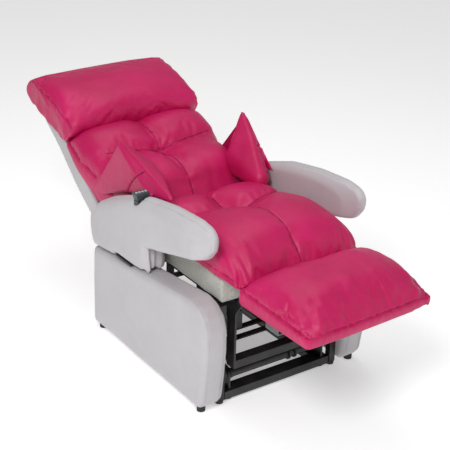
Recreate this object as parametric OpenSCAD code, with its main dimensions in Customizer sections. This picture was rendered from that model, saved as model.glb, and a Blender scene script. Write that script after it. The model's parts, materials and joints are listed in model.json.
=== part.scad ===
// Motorised riser recliner for a ward, drawn with the back reclined and the leg rest out.
// Millimetres, +Z up, the sitter faces -Y, the sitter's right hand is on -X.
// The origin is on the floor, under the middle of the reclined chair.

/* [Overall] */
// Width over the two side panels
overall_w = 700; // [680:1:740]
// Thickness of each upholstered side panel
panel_w = 96; // [80:1:96]
// Width of each arm pad
arm_w = 80; // [70:1:80]

/* [Seat] */
// Half width of the seat and back upholstery
cushion_half_w = 260; // [240:1:262]
// Height of the top of the seat box
seat_box_top = 480; // [470:1:480]
// Thickness of the seat box rails
seat_rail = 20; // [15:1:30]

/* [Back] */
// Angle of the reclined back above the horizontal
back_angle = 37.4; // [36:0.1:40]
// Half width of the vinyl back shell
shell_half_w = 268; // [255:1:268]
// Distance from the back hinge to the top of the shell
shell_top = 645; // [600:1:650]

/* [Mechanism] */
// Thickness of the steel side plates and lift horns
plate_t = 8; // [6:0.5:8]
// Radius of every main pivot pin
pin_r = 8; // [6:0.5:8]
// Radial running clearance of a pivot bore
run_fit = 0.05; // [0.03:0.01:0.09]
// Crank length of the leg rest and of the back
crank_len = 80; // [76:1:80]
// Travel of the handset keys below their rest height
key_travel = 1.5; // [1:0.1:2]

/* [Hidden] */

$fn = 48;
eps = 0.02;

// Colours
upholstery = [0.77, 0.20, 0.41];
vinyl = [0.77, 0.76, 0.78];
seat_fabric = [0.74, 0.745, 0.71];
steel = [0.09, 0.09, 0.10];
zinc = [0.55, 0.56, 0.57];
dark_plastic = [0.27, 0.29, 0.31];
rubber = [0.05, 0.05, 0.055];

// Distance from the origin back to the plane where the side profiles below have y = 0
origin_back = -93;

// Layers across the chair, as distances from its middle plane
half_w = overall_w / 2;
panel_in = half_w - panel_w;
arm_in = half_w - arm_w;
link_x = 184;               // inner face of the front lift arms and of the hinged frames' arms
link_t = 8;
plate_x = 196;              // inner face of the horns and of the side plates
upper_x = 208;              // inner face of the upper lift arms
upper_t = 6;
post_w = 25;

// Pivots of the lift, (y, z)
base_front = [-320, 90];
base_upper = [-258, 124.5];
chassis_front = [-80, 130];
chassis_upper = [60, 190];

// Hinges of the leg rest and of the back, (y, z)
leg_hinge = [-415, 438];
back_hinge = [265, 432];

// Floor frame
pad_h = 8;
tube_h = 30;
rail_top = pad_h + tube_h;
front_tube_y = [-348, -298];
rear_tube_y = [230, 270];
tube_wall = 2.5;

// Lift drive
lift_drive_x = 70;
lift_crank_len = 60;
lift_crank_angle = 70;
lift_rod_z = base_front.y + lift_crank_len - 2;
leg_drive_x = -60;
leg_rod_z = 370;
back_drive_x = 60;
back_rod_z = 355;
crank_pin_r = 6;
yoke_t = 16;                // thickness of a rod's slotted head
yoke_half = 15;
crank_plate_t = 6;
crank_gap = 20;             // space between the two plates of a crank

// Seat
seat_y = [-340, 225];
seat_box_bottom = 388;

function polar(r, a) = [r * cos(a), r * sin(a)];

// Moves a part drawn with the side profiles' own y to where the record's frame wants it
module placed() { translate([0, origin_back, 0]) children(); }

module both_sides() {
    children();
    mirror([1, 0, 0]) children();
}

// Extrudes a (y, z) outline across the chair from x0 to x1
module across(x0, x1) {
    translate([x0, 0, 0]) rotate([90, 0, 90]) linear_extrude(x1 - x0) children();
}

// A cylinder along X, centred on the (y, z) point p
module rod_x(p, r, x0, x1) {
    translate([x0, p.x, p.y]) rotate([0, 90, 0]) cylinder(h = x1 - x0, r = r);
}

// A cylinder along Y at x, z
module rod_y(x, z, r, y0, y1) {
    translate([x, y1, z]) rotate([90, 0, 0]) cylinder(h = y1 - y0, r = r);
}

module block(x, y, z) {
    translate([x[0], y[0], z[0]]) cube([x[1] - x[0], y[1] - y[0], z[1] - z[0]]);
}

// Outline of a flat bar between two points, with round eyes a little wider than the bar
module bar_outline(p, q, r) {
    d = q - p;
    half = 0.8 * r;
    translate(p) circle(r);
    translate(q) circle(r);
    translate(p) rotate(atan2(d.y, d.x)) translate([0, -half]) square([norm(d), 2 * half]);
}

// A flat link between two pivots, with a bore at each
module link(p, q, r, x0, x1, bore_p, bore_q) {
    difference() {
        across(x0, x1) bar_outline(p, q, r);
        rod_x(p, bore_p, x0 - 1, x1 + 1);
        rod_x(q, bore_q, x0 - 1, x1 + 1);
    }
}

// A slab across the chair whose outline is smaller by edge at its two faces
module soft_slab(x0, x1, edge) {
    hull() {
        across(x0, x1) offset(delta = -edge) children();
        across(x0 + edge, x1 - edge) children();
    }
}

// A rectangular steel tube along X
module tube_x(y, z, x0, x1) {
    difference() {
        block([x0, x1], y, z);
        block([x0 - 1, x1 + 1], [y[0] + tube_wall, y[1] - tube_wall], [z[0] + tube_wall, z[1] - tube_wall]);
    }
}

// A shouldered pivot pin: its shank from x0 to x1, then a flat head
module pivot_pin(p, x0, x1, head_t) {
    rod_x(p, pin_r, x0, x1);
    rod_x(p, pin_r + 4, x1, x1 + head_t);
}

// The two plates of a crank with their cross pin, from hinge p at angle a
module crank(p, len, a, x, tube_r) {
    tip = p + polar(len, a);
    inner = crank_gap / 2;
    outer = inner + crank_plate_t;
    difference() {
        union() {
            across(x - outer, x - inner) bar_outline(p, tip, 12);
            across(x + inner, x + outer) bar_outline(p, tip, 12);
            across(x - outer, x - inner) translate(p) circle(tube_r + 6);
            across(x + inner, x + outer) translate(p) circle(tube_r + 6);
            rod_x(tip, crank_pin_r, x - inner, x + inner);
        }
        rod_x(p, tube_r + eps, x - outer - 1, x + outer + 1);
    }
}

// A push rod along Y with a slotted head for a crank pin that stands at pin
module push_rod(x, z, r, pin, slot_z, end_y) {
    side = end_y > pin.x ? 1 : -1;
    slot_half = crank_pin_r + (slot_z[1] - slot_z[0] > 30 ? 2.8 : 0.9);
    shank = [pin.x + side * yoke_half, end_y];
    difference() {
        block([x - yoke_t / 2, x + yoke_t / 2], [pin.x - yoke_half, pin.x + yoke_half],
              [slot_z[0] - 8, slot_z[1] + 8]);
        block([x - yoke_t, x + yoke_t], [pin.x - slot_half, pin.x + slot_half], slot_z);
    }
    rod_y(x, z, r, min(shank), max(shank));
}

// ---------------------------------------------------------------- floor frame

module base_front_tube() placed() color(steel) tube_x(front_tube_y, [pad_h, rail_top], -225, 225);

module base_side_rails() placed() color(steel) both_sides()
    block([link_x - 12, plate_x + plate_t], [front_tube_y[1], rear_tube_y[0]], [pad_h, rail_top]);

module base_rear_tube() placed() color(steel) tube_x(rear_tube_y, [pad_h, rail_top], -225, 225);

module floor_pads() placed() color(rubber) both_sides()
    for (y = [front_tube_y[0] + 25, rear_tube_y[0] + 20])
        translate([200, y, 0]) cylinder(h = pad_h, r = 18);

// Plates that stand on the rails and carry the fixed pivots of the lift
module lift_horns() placed() color(steel) both_sides() difference() {
    across(plate_x, plate_x + plate_t) {
        bar_outline(base_front, base_upper, 18);
        polygon([[-340, rail_top], [-210, rail_top], [-238, 120], base_upper, base_front, [-338, 90]]);
    }
    rod_x(base_front, pin_r + eps, plate_x - 1, plate_x + plate_t + 1);
    rod_x(base_upper, pin_r + eps, plate_x - 1, plate_x + plate_t + 1);
}

module lift_pivot_pins() placed() color(zinc) both_sides() {
    pivot_pin(base_front, link_x - 4, plate_x + plate_t, 3);
    pivot_pin(base_upper, plate_x, upper_x + upper_t + 1, 3);
}

module lift_motor() placed() color(rubber) {
    z = lift_rod_z;
    difference() {
        rod_y(lift_drive_x, z, 20, -262, 50);
        rod_y(lift_drive_x, z, 9 + run_fit, -263, -40);
    }
    block([40, 100], [50, 110], [z - 25, z + 40]);
    rod_x([80, z + 6], 28, -60, 40);
}

module lift_motor_bracket() placed() color(steel)
    across(lift_drive_x - 20, lift_drive_x + 20)
        polygon([[110, 125], [118, 125], [262, 46], [262, rail_top], [232, rail_top], [110, 100]]);

// ---------------------------------------------------------------- lift linkage

module front_lift_arms() placed() color(steel) both_sides()
    link(base_front, chassis_front, 18, link_x, link_x + link_t, pin_r + run_fit, pin_r + run_fit);

module lift_torque_tube() placed() color(steel) difference() {
    rod_x(base_front, 16, -link_x, link_x);
    rod_x(base_front, 13, -link_x - 1, link_x + 1);
}

module lift_crank() placed() color(steel)
    crank(base_front, lift_crank_len, lift_crank_angle, lift_drive_x, 16);

// The far end is the linkage's open pivot, so its bore is wider
module upper_lift_arms() placed() color(steel) both_sides()
    link(base_upper, chassis_upper, 18, upper_x, upper_x + upper_t, pin_r + run_fit, pin_r + 1);

module lift_rod() placed() color(zinc) {
    pin = base_front + polar(lift_crank_len, lift_crank_angle);
    push_rod(lift_drive_x, lift_rod_z, 9, pin, [pin.y - 8, lift_rod_z + 10], -60);
}

// ---------------------------------------------------------------- chassis

// Side plates with windows, a nose up to the leg rest hinge and an ear up to the back hinge
module chassis_side_plates() placed() color(steel) both_sides() difference() {
    across(plate_x, plate_x + plate_t) {
        polygon([[-365, 132], [-325, 132], [-316, 152], [-110, 152], [-50, 152], [200, 165],
                 [275, 300], [255, 388], [-350, 388], [-365, 372]]);
        translate(chassis_front) circle(18);
        translate([chassis_front.x - 14, chassis_front.y]) square([28, 30]);
        bar_outline([-345, 340], leg_hinge, 16);
        bar_outline([252, 350], back_hinge, 18);
    }
    for (y = [[-320, -165], [-130, 25], [65, 205]])
        block([plate_x - 1, plate_x + plate_t + 1], y, [230, 350]);
    for (p = [chassis_front, chassis_upper, leg_hinge, back_hinge])
        rod_x(p, pin_r + eps, plate_x - 1, plate_x + plate_t + 1);
}

module chassis_crossbars() placed() color(steel) {
    tube_x([-365, -325], [132, 162], -plate_x, plate_x);
    tube_x([-20, 10], [350, 380], -plate_x, plate_x);
    tube_x([190, 220], [290, 320], -plate_x, plate_x);
    for (y = [-300, -245])
        block([-plate_x, plate_x], [y, y + 25], [196, 201]);
}

module chassis_pivot_pins() placed() color(zinc) both_sides() {
    mirror([1, 0, 0]) pivot_pin(chassis_front, -plate_x - plate_t, 1 - link_x, 3);
    pivot_pin(chassis_upper, plate_x, upper_x + upper_t + 1, 3);
}

module hinge_pins() placed() color(zinc) both_sides()
    for (p = [leg_hinge, back_hinge])
        pivot_pin(p, link_x - 4, plate_x + plate_t, 4);

module seat_box() placed() color(seat_fabric) difference() {
    block([-244, 244], seat_y, [seat_box_bottom, seat_box_top]);
    block([seat_rail - 244, 244 - seat_rail], [seat_y[0] + seat_rail, seat_y[1] - seat_rail],
          [seat_box_bottom - 1, seat_box_top + 1]);
}

// Zigzag springs between the front and rear rails
module seat_springs() placed() color(zinc) {
    y0 = seat_y[0] + seat_rail;
    span = seat_y[1] - seat_y[0] - 2 * seat_rail;
    turns = 14;
    swing = 22;
    wire = 4;
    line = [for (i = [0:turns]) [(i % 2 == 0 ? -1 : 1) * swing, y0 + span * i / turns]];
    back = [for (i = [turns:-1:0]) line[i] + [wire * 1.6, 0]];
    for (x = [-160:80:160])
        translate([x, 0, seat_box_top - 14]) linear_extrude(wire) polygon(concat(line, back));
}

module seat_cushion() placed() color(upholstery)
    soft_slab(-cushion_half_w, cushion_half_w, 28)
        polygon([[168, 484], [165, 522], [135, 548], [60, 562], [-100, 596], [-219, 612], [-317, 610],
                 [-395, 588], [-436, 548], [-447, 505], [-440, 484]]);

// ---------------------------------------------------------------- side panels

panel_outline = [[350, 20], [346, 334], [140, 354], [-145, 394], [-295, 412], [-345, 402], [-385, 372],
                 [-405, 325], [-408, 240], [-398, 140], [-384, 50], [-360, 20]];
socket_y = [40, 260];
socket_x = half_w - 46;
socket_bottom = 225;
socket_top = [350, 335];
arm_tube_r = 12.5;
socket_r = 15;

module side_panel() difference() {
    soft_slab(panel_in, half_w, 14) polygon(panel_outline);
    for (i = [0, 1])
        translate([socket_x, socket_y[i], socket_bottom]) cylinder(h = 200, r = socket_r + eps);
}

module left_side_panel() placed() color(vinyl) side_panel();
module right_side_panel() placed() color(vinyl) mirror([1, 0, 0]) side_panel();

module panel_spacers() placed() color(steel) both_sides()
    for (y = [-280, -60, 60, 190])
        rod_x([y, 368], 10, plate_x + plate_t, panel_in);

module panel_glides() placed() color(rubber) both_sides()
    for (y = [-345, 320])
        translate([half_w - 30, y, 0]) cylinder(h = 20, r = 15);

module front_posts() placed() color(steel) both_sides() {
    block([panel_in - post_w, panel_in], [-350, -325], [10, 380]);
    translate([panel_in - post_w / 2, -337.5, 0]) cylinder(h = 10, r = 15);
}

// Steel sleeves let into the panels for the tubes of the lift-off arms
module arm_sockets() placed() color(steel) both_sides()
    for (i = [0, 1])
        translate([socket_x, socket_y[i], socket_bottom]) difference() {
            cylinder(h = socket_top[i] - socket_bottom, r = socket_r);
            translate([0, 0, 8]) cylinder(h = 200, r = arm_tube_r + 0.08);
        }

// ---------------------------------------------------------------- drives under the seat

module legrest_motor() placed() color(rubber) {
    x = leg_drive_x;
    difference() {
        rod_y(x, leg_rod_z, 16, -300, -20);
        rod_y(x, leg_rod_z, pin_r + run_fit, -301, -105);
    }
    block([x - 25, x + 25], [-100, -45], [298, 356]);
    rod_y(x, 326, 24, -230, -100);
}

module recline_motor() placed() color(rubber) {
    x = back_drive_x;
    difference() {
        rod_y(x, back_rod_z, 16, 10, 175);
        rod_y(x, back_rod_z, pin_r + run_fit, 45, 176);
    }
    block([x - 25, x + 25], [22, 78], [283, 341]);
    rod_y(x, 311, 24, 78, 185);
}

module control_box() placed() color(dark_plastic) difference() {
    block([-plate_x, -120], [-290, -170], [235, 300]);
    block([-175, -145], [-171, -160], [250, 275]);
}

// Recessed inlet for a mains lead
module mains_inlet() placed() color(rubber) difference() {
    block([-175 + eps, -145 - eps], [-171 + eps, -160], [250 + eps, 275 - eps]);
    block([-171, -149], [-168, -159], [254, 271]);
}

// ---------------------------------------------------------------- leg rest

board_rear = [-450, 446];
board_front = [-795, 457];
board_t = 13;

function board_under(y) = board_rear.y
    + (board_front.y - board_rear.y) * (y - board_rear.x) / (board_front.x - board_rear.x);

module legrest_arms() placed() color(steel) both_sides() difference() {
    across(link_x, link_x + link_t) {
        bar_outline(leg_hinge, [-450, 430], 14);
        polygon([board_rear, [-770, 456], [-770, 436], [-450, 418]]);
    }
    rod_x(leg_hinge, pin_r + run_fit, link_x - 1, link_x + link_t + 1);
}

module legrest_hinge_tube() placed() color(steel) {
    difference() {
        rod_x(leg_hinge, 14, -link_x, link_x);
        rod_x(leg_hinge, pin_r + 2, -link_x - 1, link_x + 1);
    }
    crank(leg_hinge, crank_len, -135, leg_drive_x, 14 - 2 * eps);
}

module legrest_board() placed() color(rubber)
    across(-242, 242)
        polygon([board_rear, board_front, board_front + [0, board_t], board_rear + [0, board_t]]);

// Folded straps that hold the pad's cover under the board
module legrest_brackets() placed() color(zinc) both_sides() {
    block([212, 236], [-640, -575], [410, 414]);
    block([232, 236], [-640, -575], [414, board_under(-575)]);
}

module legrest_screws() placed() color(zinc) both_sides()
    for (y = [-780, -680, -500])
        translate([225, y, board_under(y) - 5.2]) cylinder(h = 5, r = 5);

module legrest_pad() placed() color(upholstery)
    soft_slab(-256, 256, 22)
        polygon([[-452, 462], [-452, 530], [-520, 550], [-610, 552], [-700, 540], [-765, 515], [-800, 490],
                 [-803, 473]]);

module legrest_rod() placed() color(zinc)
    push_rod(leg_drive_x, leg_rod_z, pin_r, leg_hinge + polar(crank_len, -135), [349, 390], -240);

// ---------------------------------------------------------------- back
// Drawn about the back hinge: y runs up the back, z stands out of its front face.

module on_back() {
    placed() translate([0, back_hinge.x, back_hinge.y]) rotate([back_angle, 0, 0]) children();
}

shell_rear = -183;
shell_front = -113;
shell_skin = 12;
shell_rim = 16;
shell_foot = -40;
shell_step = 85;

// Steel side tubes with hinge arms, joined by two cross tubes
module back_frame() on_back() color(steel) {
    both_sides() difference() {
        union() {
            across(link_x, link_x + link_t)
                bar_outline([0, 0], [0, -125], 16);
            block([link_x - 18, link_x], [-16, 600], [-160, -135]);
        }
        rod_x([0, 0], pin_r + run_fit, link_x - 1, link_x + link_t + 1);
    }
    for (y = [120, 360, 575])
        block([18 - link_x, link_x - 18], [y, y + 25], [-160, -135]);
}

module back_hinge_tube() placed() color(steel) {
    difference() {
        rod_x(back_hinge, 14, -link_x, link_x);
        rod_x(back_hinge, pin_r + 2, -link_x - 1, link_x + 1);
    }
    crank(back_hinge, crank_len, -106.5, back_drive_x, 14 - 2 * eps);
}

// A tray: a rear skin with a rim around it, from y0 to y1, open at the ends given
module tray(half, y0, y1, inner_y0, inner_y1) difference() {
    block([-half, half], [y0, y1], [shell_rear, shell_front]);
    block([shell_rim - half, half - shell_rim], [inner_y0, inner_y1], [shell_rear + shell_skin, 0]);
}

// The vinyl back, which is narrower below the arms
module back_shell() on_back() color(vinyl) {
    tray(shell_half_w, shell_step, shell_top, shell_step - 1, shell_top - shell_rim);
    tray(235, shell_foot, shell_step, shell_foot + 12, shell_step + 1);
}

module back_cushion() on_back() color(upholstery)
    soft_slab(-cushion_half_w, cushion_half_w, 30)
        polygon([[48, -108], [44, 40], [50, 95], [80, 112], [130, 110], [240, 66], [385, 22], [428, -20],
                 [428, -108]]);

// A bolster over the shell's top whose cheeks cover the shell's sides
module headrest() on_back() color(upholstery) {
    soft_slab(-290, 290, 26)
        polygon([[436, -108], [436, -35], [470, 0], [530, 8], [610, -15], [690, -55], [745, -108]]);
    soft_slab(-290, 290, 12)
        polygon([[650, -100], [650, -186], [700, -198], [758, -202], [762, -160], [745, -100]]);
    both_sides() across(shell_half_w + 3, 290)
        polygon([[450, -109], [640, -60], [740, -150], [745, -198], [690, -182], [560, -146]]);
}

module recline_rod() placed() color(zinc)
    push_rod(back_drive_x, back_rod_z, pin_r, back_hinge + polar(crank_len, -106.5), [344, 367], 60);

// ---------------------------------------------------------------- wing pillows

// A pointed pillow whose soft corners and full middle are given as [x, y, z, radius], with a
// flat flap between the back cushion's side and the arm
module wing(corners, flap) {
    hull()
        for (c = corners)
            translate([c[0], c[1], c[2]]) sphere(c[3], $fn = 32);
    across(cushion_half_w + 1.5, cushion_half_w + 8.5) polygon(flap);
}

module right_wing_pillow() placed() color(upholstery)
    mirror([1, 0, 0]) wing([[255, 288, 742, 8], [235, -10, 632, 8], [258, 330, 625, 7], [205, 215, 638, 50],
                            [222, 115, 632, 42]],
                           [[290, 738], [484, 487], [400, 500], [240, 575], [60, 622], [150, 655]]);

module left_wing_pillow() placed() color(upholstery)
    wing([[255, 266, 757, 8], [238, 78, 598, 10], [258, 320, 625, 7], [205, 215, 630, 46], [205, 78, 602, 30],
          [195, 205, 596, 26]],
         [[268, 752], [484, 487], [400, 500], [240, 575], [80, 596], [150, 655]]);

// ---------------------------------------------------------------- arms

arm_top_core = [[372, 470], [336, 512], [250, 560], [155, 600], [25, 645], [-145, 678], [-300, 690],
                [-365, 682], [-392, 655], [-388, 612], [-350, 565], [-20, 480], [366, 400]];
arm_top_face = [[362, 450], [320, 500], [120, 595], [-100, 643], [-215, 652], [-275, 646], [-315, 622],
                [-305, 555], [-20, 484], [362, 405]];
post_outline = [[-15, 470], [-22, 384], [342, 344], [362, 390], [364, 450], [0, 540]];
post_foot = [[-17, 470], [-22, 385], [45, 378], [45, 470]];
post_foot_in = arm_in - 8;
notch_y = [62, 192];

// An arm pad on its post, with bores for its two tubes, a notch for its latch and,
// on the right arm, a flat seat for the handset holder
module arm_body(holder_seat = false) difference() {
    union() {
        hull() {
            across(arm_in, half_w) polygon(arm_top_face);
            across(arm_in + 16, half_w - 34) polygon(arm_top_core);
        }
        soft_slab(arm_in, half_w, 8) polygon(post_outline);
        soft_slab(post_foot_in, arm_in + 20, 6) polygon(post_foot);
    }
    for (y = socket_y)
        translate([socket_x, y, 300]) cylinder(h = 120, r = arm_tube_r + eps);
    block([half_w - 34, half_w + 1], notch_y, [330, 376]);
    if (holder_seat)
        translate([-handset_at.x, handset_at.y, 0]) {
            block([-22, 22], [-14, 14], [holder_z[0], 700]);
            block([-28, 28], [-18, 18], [holder_z[1] + 1, 700]);
        }
}

module arm_tubes() for (y = socket_y)
    translate([socket_x, y, 240]) cylinder(h = 180, r = arm_tube_r);

module latch() block([half_w - 30, half_w - 3], [notch_y[0] + 13, notch_y[1] - 13], [369, 374]);

module left_arm() placed() color(vinyl) arm_body();
module right_arm() placed() color(vinyl) mirror([1, 0, 0]) arm_body(holder_seat = true);
module left_arm_tubes() placed() color(steel) arm_tubes();
module right_arm_tubes() placed() color(steel) mirror([1, 0, 0]) arm_tubes();
module left_latch() placed() color(rubber) latch();
module right_latch() placed() color(rubber) mirror([1, 0, 0]) latch();

// ---------------------------------------------------------------- handset

handset_at = [-318, 48];
holder_z = [590, 629];
key_w = 9;
key_h = 5;
key_base = 657;

module at_handset() placed() translate([handset_at.x, handset_at.y, 0]) children();

// A pocket let into the right arm pad
module handset_holder() at_handset() color(dark_plastic) difference() {
    block([-21, 21], [-13, 13], [holder_z[0], holder_z[1]]);
    block([-18.5, 18.5], [-10.5, 10.5], [holder_z[0] + 6, holder_z[1] + 1]);
}

module handset() at_handset() color(dark_plastic) difference() {
    union() {
        block([-18, 18], [-10, 10], [holder_z[0] + 7, holder_z[1] + 2]);
        hull() {
            block([-20, 20], [-12, 12], [holder_z[1] + 2, holder_z[1] + 3]);
            block([-26, 26], [-16, 16], [key_base - 6, key_base]);
        }
    }
    for (p = key_places)
        translate([p.x, p.y, key_base - 4]) cylinder(h = 5, r = key_w / 2 + 0.3);
}

key_places = [for (i = [0:3]) [12 * i - 18, 0]];
module key(i) at_handset() color(zinc)
    translate([key_places[i].x, key_places[i].y, key_base - 4 + key_travel + 0.2])
        cylinder(h = key_h, r = key_w / 2);

module back_up_key() key(0);
module back_down_key() key(1);
module leg_up_key() key(2);
module leg_down_key() key(3);

base_front_tube();
base_side_rails();
base_rear_tube();
floor_pads();
lift_horns();
lift_pivot_pins();
lift_motor();
lift_motor_bracket();
front_lift_arms();
lift_torque_tube();
lift_crank();
upper_lift_arms();
lift_rod();
chassis_side_plates();
chassis_crossbars();
chassis_pivot_pins();
hinge_pins();
seat_box();
seat_springs();
seat_cushion();
right_side_panel();
left_side_panel();
panel_spacers();
panel_glides();
front_posts();
arm_sockets();
legrest_motor();
recline_motor();
control_box();
mains_inlet();
legrest_arms();
legrest_hinge_tube();
legrest_board();
legrest_brackets();
legrest_screws();
legrest_pad();
legrest_rod();
back_frame();
back_hinge_tube();
back_shell();
back_cushion();
headrest();
recline_rod();
right_wing_pillow();
left_wing_pillow();
right_arm();
right_arm_tubes();
left_arm();
left_arm_tubes();
right_latch();
left_latch();
handset_holder();
handset();
back_up_key();
back_down_key();
leg_up_key();
leg_down_key();
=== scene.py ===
"""Looks of the motorised patient recliner: upholstery, vinyl, steel and studio light around the CAD frame."""

import json
import math

import bpy
import numpy as np
from mathutils import Matrix, Vector, noise
from mathutils.bvhtree import BVHTree
from mathutils.kdtree import KDTree


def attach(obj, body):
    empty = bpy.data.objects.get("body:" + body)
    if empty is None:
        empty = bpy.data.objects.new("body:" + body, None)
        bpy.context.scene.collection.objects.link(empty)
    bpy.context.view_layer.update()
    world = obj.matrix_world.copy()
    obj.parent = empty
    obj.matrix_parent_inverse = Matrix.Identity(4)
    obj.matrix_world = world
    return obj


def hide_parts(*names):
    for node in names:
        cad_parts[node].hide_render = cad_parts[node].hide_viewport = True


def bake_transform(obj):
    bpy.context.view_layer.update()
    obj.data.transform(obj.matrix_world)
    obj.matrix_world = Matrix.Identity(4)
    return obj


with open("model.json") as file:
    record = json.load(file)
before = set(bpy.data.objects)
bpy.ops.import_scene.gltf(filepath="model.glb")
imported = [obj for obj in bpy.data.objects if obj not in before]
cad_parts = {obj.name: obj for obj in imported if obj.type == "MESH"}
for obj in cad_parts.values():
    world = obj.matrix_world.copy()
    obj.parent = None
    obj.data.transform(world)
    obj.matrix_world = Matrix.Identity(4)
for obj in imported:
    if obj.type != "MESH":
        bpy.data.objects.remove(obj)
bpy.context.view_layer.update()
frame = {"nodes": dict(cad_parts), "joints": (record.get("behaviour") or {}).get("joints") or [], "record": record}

MM = 0.001
joints = {j["name"]: j for j in frame["joints"]}
BACK_HINGE = Vector(joints["back_recline"]["pos_m"])
BACK_ANGLE = math.atan2(joints["right_wing_slide"]["axis"][2], joints["right_wing_slide"]["axis"][1])
# Side profiles are drawn in millimetres with y = 0 on this plane, as in the CAD source
PROFILE_Y = BACK_HINGE.y - 265 * MM
# The back's own frame: y runs up the back from its hinge, z stands out of its front
BACK_FRAME = Matrix.Translation(BACK_HINGE) @ Matrix.Rotation(BACK_ANGLE, 4, "X")


# ------------------------------------------------------------------ camera and studio

def add_camera():
    """A long lens from the front, over the sitter's right side."""
    azimuth, elevation, roll = math.radians(-35.03), math.radians(25.57), math.radians(1.57)
    distance = 4.587
    target = Vector((0.0034, PROFILE_Y + 0.0043, 0.471))
    away = Vector((math.sin(azimuth) * math.cos(elevation), -math.cos(azimuth) * math.cos(elevation),
                   math.sin(elevation)))
    level = Vector((math.cos(azimuth), math.sin(azimuth), 0))
    right = level * math.cos(roll) + away.cross(level) * math.sin(roll)
    up = away.cross(right)
    data = bpy.data.cameras.new("camera")
    data.lens = 103.0
    data.sensor_width = 36
    camera = bpy.data.objects.new("camera", data)
    bpy.context.scene.collection.objects.link(camera)
    turn = Matrix((right, up, away)).transposed().to_4x4()
    camera.matrix_world = Matrix.Translation(target + away * distance) @ turn
    bpy.context.scene.camera = camera


def add_light(name, where, size, power, aim):
    data = bpy.data.lights.new(name, "AREA")
    data.shape = "DISK"
    data.size = size
    data.energy = power
    lamp = bpy.data.objects.new(name, data)
    bpy.context.scene.collection.objects.link(lamp)
    lamp.location = where
    lamp.rotation_euler = (Vector(aim) - Vector(where)).to_track_quat("-Z", "Y").to_euler()


def add_world():
    world = bpy.data.worlds.new("studio")
    world.use_nodes = True
    background = world.node_tree.nodes["Background"]
    background.inputs["Color"].default_value = (1.0, 1.0, 1.0, 1)
    background.inputs["Strength"].default_value = 0.33
    bpy.context.scene.world = world
    bpy.context.scene.view_settings.view_transform = "Standard"


def add_floor():
    reach = 14
    corners = [(-reach, -reach, 0), (reach, -reach, 0), (reach, reach, 0), (-reach, reach, 0)]
    mesh = bpy.data.meshes.new("studio_floor")
    mesh.from_pydata(corners, [], [(0, 1, 2, 3)])
    floor = bpy.data.objects.new("studio_floor", mesh)
    bpy.context.scene.collection.objects.link(floor)
    floor.data.materials.append(floor_paper())


def add_studio():
    """A pale surround, three lamps aimed at the chair, and a white floor."""
    add_world()
    chair_middle = (0, 0, 0.45)
    add_light("key", (-2.4, -2.2, 3.2), 1.3, 88, chair_middle)
    add_light("fill", (2.6, -2.6, 1.8), 2.2, 11, chair_middle)
    add_light("top", (0.2, 0.6, 3.6), 2.2, 30, chair_middle)
    add_floor()


# ------------------------------------------------------------------ materials

class Nodes:
    """Builds a node tree around one Principled shader, with coordinates in metres."""

    def __init__(self, name):
        self.material = bpy.data.materials.new(name)
        self.material.use_nodes = True
        self.tree = self.material.node_tree
        self.shader = self.tree.nodes["Principled BSDF"]
        self.place = self.add("ShaderNodeTexCoord").outputs["Object"]

    def add(self, kind, **values):
        node = self.tree.nodes.new(kind)
        for key, value in values.items():
            setattr(node, key, value)
        return node

    def link(self, source, target):
        self.tree.links.new(source, target)

    def noise(self, scale, detail=2.0, rough=0.5, stretch=None):
        node = self.add("ShaderNodeTexNoise")
        node.inputs["Scale"].default_value = scale
        node.inputs["Detail"].default_value = detail
        node.inputs["Roughness"].default_value = rough
        self.link(self.stretched(stretch), node.inputs["Vector"])
        return node.outputs["Fac"]

    def voronoi(self, scale):
        """The distance to the nearest cell point, in cells scale to the metre."""
        node = self.add("ShaderNodeTexVoronoi")
        node.inputs["Scale"].default_value = scale
        self.link(self.place, node.inputs["Vector"])
        return node.outputs["Distance"]

    def stretched(self, stretch):
        if stretch is None:
            return self.place
        node = self.add("ShaderNodeMapping")
        node.inputs["Scale"].default_value = stretch
        self.link(self.place, node.inputs["Vector"])
        return node.outputs["Vector"]

    def ramp(self, source, low, high, dark, light):
        """Maps source from low..high to the colours dark..light."""
        node = self.add("ShaderNodeValToRGB")
        node.color_ramp.elements[0].position = low
        node.color_ramp.elements[0].color = (*dark, 1)
        node.color_ramp.elements[1].position = high
        node.color_ramp.elements[1].color = (*light, 1)
        self.link(source, node.inputs["Fac"])
        return node.outputs["Color"]

    def spread(self, source, low, high, to_low, to_high):
        node = self.add("ShaderNodeMapRange")
        for name, value in (("From Min", low), ("From Max", high), ("To Min", to_low), ("To Max", to_high)):
            node.inputs[name].default_value = value
        self.link(source, node.inputs["Value"])
        return node.outputs["Result"]

    def maths(self, operation, first, second):
        node = self.add("ShaderNodeMath", operation=operation)
        for socket, value in zip(node.inputs, (first, second)):
            if isinstance(value, (int, float)):
                socket.default_value = value
            else:
                self.link(value, socket)
        return node.outputs[0]

    def bump(self, height, distance, strength, under=None):
        node = self.add("ShaderNodeBump")
        node.inputs["Distance"].default_value = distance
        node.inputs["Strength"].default_value = strength
        self.link(height, node.inputs["Height"])
        if under is not None:
            self.link(under, node.inputs["Normal"])
        return node.outputs["Normal"]

    def set(self, **values):
        for key, value in values.items():
            socket = self.shader.inputs[key.replace("_", " ")]
            if isinstance(value, (int, float, tuple)):
                socket.default_value = value
            else:
                self.link(value, socket)


def floor_paper():
    """White studio paper, lit a little from behind so that it stays pale."""
    nodes = Nodes("studio_paper")
    nodes.set(Base_Color=(0.95, 0.95, 0.95, 1), Roughness=0.8, Emission_Color=(1.0, 1.0, 1.0, 1),
              Emission_Strength=0.36)
    return nodes.material


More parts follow.
